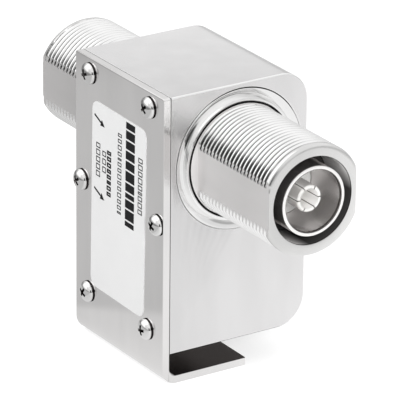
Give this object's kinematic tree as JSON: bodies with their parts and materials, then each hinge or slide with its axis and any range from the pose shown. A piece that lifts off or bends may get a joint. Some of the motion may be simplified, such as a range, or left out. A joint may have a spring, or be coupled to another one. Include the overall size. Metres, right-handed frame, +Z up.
{
  "type": "coaxial surge arrestor",
  "caption": "Box-shaped inline coaxial surge arrestor with a threaded female port at each end and a folded cover whose foot bolts down.",
  "frame": {"origin": "underside of the cover's foot, midway between its two holes", "axes": "+X across the housing away from the cover, +Y along the coaxial axis towards the surge port, +Z up"},
  "size_m": [0.0443, 0.1068, 0.0767],
  "materials": {
    "housing_metal": "satin plated",
    "cover_metal": "satin plated sheet",
    "gasket_rubber": "matte",
    "screw_metal": "bright",
    "label_film": "satin film",
    "port_plating": "bright white plating on brass",
    "seal_rubber": "matte",
    "insulator_plastic": "matte",
    "contact_plating": "bright silver plating on brass",
    "inner_brass": "turned",
    "ceramic": "fired ceramic",
    "electrode_metal": "bright",
    "copper_wire": "enamelled copper wire"
  },
  "bodies": {
    "root": {"housing": "housing_metal", "mounting_cover": "cover_metal", "cover_gasket": "gasket_rubber", "cover_screws": "screw_metal", "rating_label": "label_film", "surge_connector_body": "port_plating", "surge_o_ring": "seal_rubber", "surge_insulator": "insulator_plastic", "surge_contact": "contact_plating", "surge_lock_nut": "inner_brass", "equipment_connector_body": "port_plating", "equipment_o_ring": "seal_rubber", "equipment_insulator": "insulator_plastic", "equipment_contact": "contact_plating", "equipment_lock_nut": "inner_brass", "surge_capacitor_plate": "inner_brass", "equipment_capacitor_plate": "inner_brass", "capacitor_disc": "ceramic", "gas_tube_tap": "inner_brass", "gas_tube_ceramic": "ceramic", "gas_tube_top_electrode": "electrode_metal", "gas_tube_bottom_electrode": "electrode_metal", "gas_tube_washer": "electrode_metal", "ground_post": "inner_brass", "drain_tap": "inner_brass", "drain_coil": "copper_wire", "drain_lug": "electrode_metal", "drain_screw": "screw_metal"}
  },
  "joints": []
}
